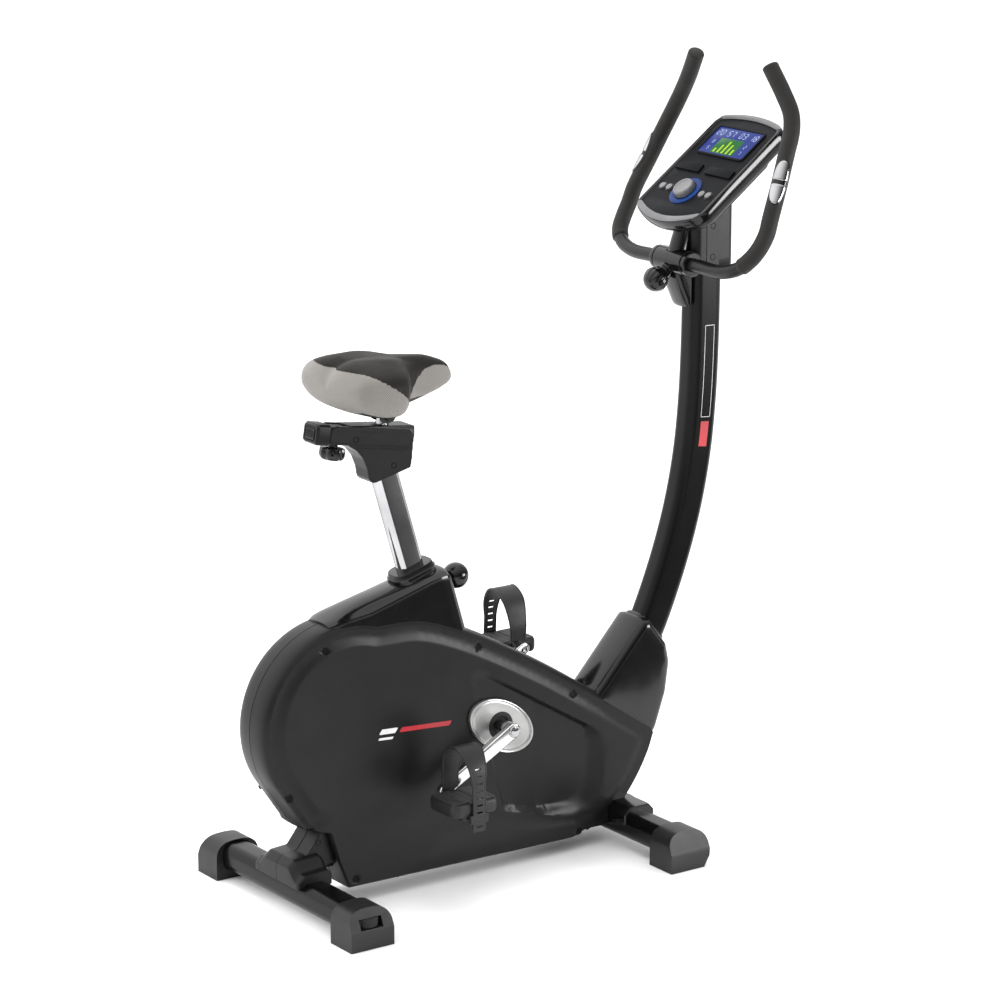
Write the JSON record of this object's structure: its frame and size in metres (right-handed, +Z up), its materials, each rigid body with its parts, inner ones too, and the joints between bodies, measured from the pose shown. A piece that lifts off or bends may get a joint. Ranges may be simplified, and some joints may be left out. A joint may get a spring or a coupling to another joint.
{
  "type": "upright exercise bike",
  "caption": "Upright magnetic exercise bike: enclosed flywheel, cranks with strapped pedals, height and reach adjustable saddle, tilting handlebar and a console on a curved mast.",
  "frame": {"origin": "middle of the bike's footprint box, on the floor", "axes": "+X the way the rider faces, +Y the rider's left, +Z up"},
  "size_m": [1.1161, 0.5056, 1.4205],
  "materials": {
    "black_steel": "satin black powder coat",
    "gloss_black": "glossy black moulding",
    "charcoal_shell": "satin charcoal moulding with a fine grain",
    "cap_grey": "matt dark grey moulding",
    "chrome": "polished",
    "polished_steel": "polished and lightly brushed",
    "satin_silver": "satin silver",
    "rubber": "matt moulded",
    "grip_foam": "fine-celled foam",
    "saddle_vinyl": "grained black vinyl, with silver-grey mesh on the sides",
    "saddle_mesh": "silver-grey spacer mesh",
    "strap": "flexible moulded strap",
    "cast_iron": "machined",
    "screen": "backlit blue display behind a clear window",
    "button": "silver-painted"
  },
  "bodies": {
    "frame": {"frame_spine": "black_steel", "rear_stabiliser": "black_steel", "front_stabiliser": "black_steel", "seat_tube": "black_steel", "seat_bushing": "gloss_black", "front_leg": "gloss_black", "rear_foot_cover": "charcoal_shell", "rear_cap_left": "cap_grey", "rear_cap_right": "cap_grey", "front_cap_left": "cap_grey", "front_cap_right": "cap_grey", "housing_left": "charcoal_shell", "housing_right": "charcoal_shell", "seat_tube_cover": "gloss_black", "mast_cover": "gloss_black", "crank_disc_left": "satin_silver", "crank_disc_right": "satin_silver", "power_inlet": "gloss_black", "drive_bracket": "black_steel", "drive_belt": "rubber", "resistance_motor": "charcoal_shell", "crank_bearing": "chrome", "console_post": "black_steel", "mast_head": "charcoal_shell", "clamp_cover_left": "gloss_black", "clamp_cover_right": "gloss_black", "console_case_front": "charcoal_shell", "console_case_back": "charcoal_shell", "screen_lens": "screen"},
    "crank": {"crank_axle": "polished_steel", "crank_arm_left": "polished_steel", "crank_arm_right": "polished_steel"},
    "pedal_left": {"pedal_left": "rubber", "pedal_strap_left": "strap"},
    "pedal_right": {"pedal_right": "rubber", "pedal_strap_right": "strap"},
    "flywheel": {"flywheel": "cast_iron"},
    "magnet_bracket": {"magnet_bracket": "cast_iron"},
    "levelling_wheel_left": {"levelling_wheel_left": "rubber"},
    "levelling_wheel_right": {"levelling_wheel_right": "rubber"},
    "transport_wheel_left": {"transport_wheel_left": "rubber"},
    "transport_wheel_right": {"transport_wheel_right": "rubber"},
    "seat_post": {"seat_post": "chrome", "seat_guide_cover": "charcoal_shell"},
    "seat_slider": {"seat_rail": "black_steel"},
    "saddle": {"saddle_clamp": "black_steel", "saddle": "saddle_vinyl"},
    "slider_knob": {"slider_knob": "gloss_black"},
    "seat_pin_knob": {"seat_pin_knob": "gloss_black"},
    "handlebar": {"handlebar_tube": "black_steel", "grip_left": "grip_foam", "grip_right": "grip_foam", "pulse_sensor_left": "chrome", "pulse_sensor_right": "chrome"},
    "handlebar_knob": {"handlebar_knob": "gloss_black"},
    "console_dial": {"console_dial": "button"},
    "console_button_1": {"console_button_1": "button"},
    "console_button_2": {"console_button_2": "button"},
    "console_button_3": {"console_button_3": "button"},
    "console_button_4": {"console_button_4": "button"}
  },
  "joints": [
    {"name": "crank_spin", "type": "hinge", "parent": "frame", "child": "crank", "pos_m": [-0.067, 0, 0.271], "axis": [0, 1, 0], "continuous": true},
    {"name": "pedal_left_spin", "type": "hinge", "parent": "crank", "child": "pedal_left", "pos_m": [0.08125, 0.15, 0.3542], "axis": [0, 1, 0], "continuous": true},
    {"name": "pedal_right_spin", "type": "hinge", "parent": "crank", "child": "pedal_right", "pos_m": [-0.21525, -0.15, 0.1878], "axis": [0, 1, 0], "continuous": true},
    {"name": "flywheel_spin", "type": "hinge", "parent": "frame", "child": "flywheel", "pos_m": [-0.378, 0, 0.33], "axis": [0, 1, 0], "continuous": true},
    {"name": "magnet_swing", "type": "hinge", "parent": "frame", "child": "magnet_bracket", "pos_m": [-0.484, 0, 0.224], "axis": [0, 1, 0], "range_deg": [-4, 0]},
    {"name": "seat_height", "type": "slide", "parent": "frame", "child": "seat_post", "axis": [-0.2874, 0, 0.9578], "range_m": [-0.15, 0.1]},
    {"name": "seat_reach", "type": "slide", "parent": "seat_post", "child": "seat_slider", "axis": [-0.986, 0, 0.1668], "range_m": [0, 0.06]},
    {"name": "saddle_tilt", "type": "hinge", "parent": "seat_slider", "child": "saddle", "pos_m": [-0.27759, 0, 0.85966], "axis": [0, 1, 0], "range_deg": [-4, 4]},
    {"name": "slider_knob_turn", "type": "hinge", "parent": "seat_post", "child": "slider_knob", "pos_m": [-0.38343, 0, 0.80352], "axis": [0.1668, 0, 0.986], "range_deg": [-540, 540]},
    {"name": "seat_pin_pull", "type": "slide", "parent": "frame", "child": "seat_pin_knob", "axis": [0.9578, 0, 0.2874], "range_m": [0, 0.01], "stiffness_N_per_m": 800},
    {"name": "handlebar_tilt", "type": "hinge", "parent": "frame", "child": "handlebar", "pos_m": [0.355, 0, 1.057], "axis": [0, 1, 0], "range_deg": [-12, 15]},
    {"name": "handlebar_knob_turn", "type": "hinge", "parent": "frame", "child": "handlebar_knob", "pos_m": [0.355, 0, 1.057], "axis": [-0.8412, 0, -0.5408], "range_deg": [-540, 540]},
    {"name": "dial_turn", "type": "hinge", "parent": "frame", "child": "console_dial", "pos_m": [0.37524, 0, 1.18318], "axis": [-0.5962, 0, 0.8028], "continuous": true},
    {"name": "button_1_press", "type": "slide", "parent": "frame", "child": "console_button_1", "axis": [0.5962, 0, -0.8028], "range_m": [0, 0.0012], "stiffness_N_per_m": 300},
    {"name": "button_2_press", "type": "slide", "parent": "frame", "child": "console_button_2", "axis": [0.5962, 0, -0.8028], "range_m": [0, 0.0012], "stiffness_N_per_m": 300},
    {"name": "button_3_press", "type": "slide", "parent": "frame", "child": "console_button_3", "axis": [0.5962, 0, -0.8028], "range_m": [0, 0.0012], "stiffness_N_per_m": 300},
    {"name": "button_4_press", "type": "slide", "parent": "frame", "child": "console_button_4", "axis": [0.5962, 0, -0.8028], "range_m": [0, 0.0012], "stiffness_N_per_m": 300},
    {"name": "levelling_left_turn", "type": "hinge", "parent": "frame", "child": "levelling_wheel_left", "pos_m": [-0.473, 0.226, 0.045], "axis": [0, 0, 1], "range_deg": [-540, 540]},
    {"name": "levelling_right_turn", "type": "hinge", "parent": "frame", "child": "levelling_wheel_right", "pos_m": [-0.473, -0.226, 0.045], "axis": [0, 0, 1], "range_deg": [-540, 540]},
    {"name": "transport_left_roll", "type": "hinge", "parent": "frame", "child": "transport_wheel_left", "pos_m": [0.23295, 0.222, 0.022], "axis": [0, 1, 0], "continuous": true},
    {"name": "transport_right_roll", "type": "hinge", "parent": "frame", "child": "transport_wheel_right", "pos_m": [0.23295, -0.222, 0.022], "axis": [0, 1, 0], "continuous": true}
  ],
  "couplings": [
    {"joint": "flywheel_spin", "follows": "crank_spin", "ratio": 5}
  ]
}
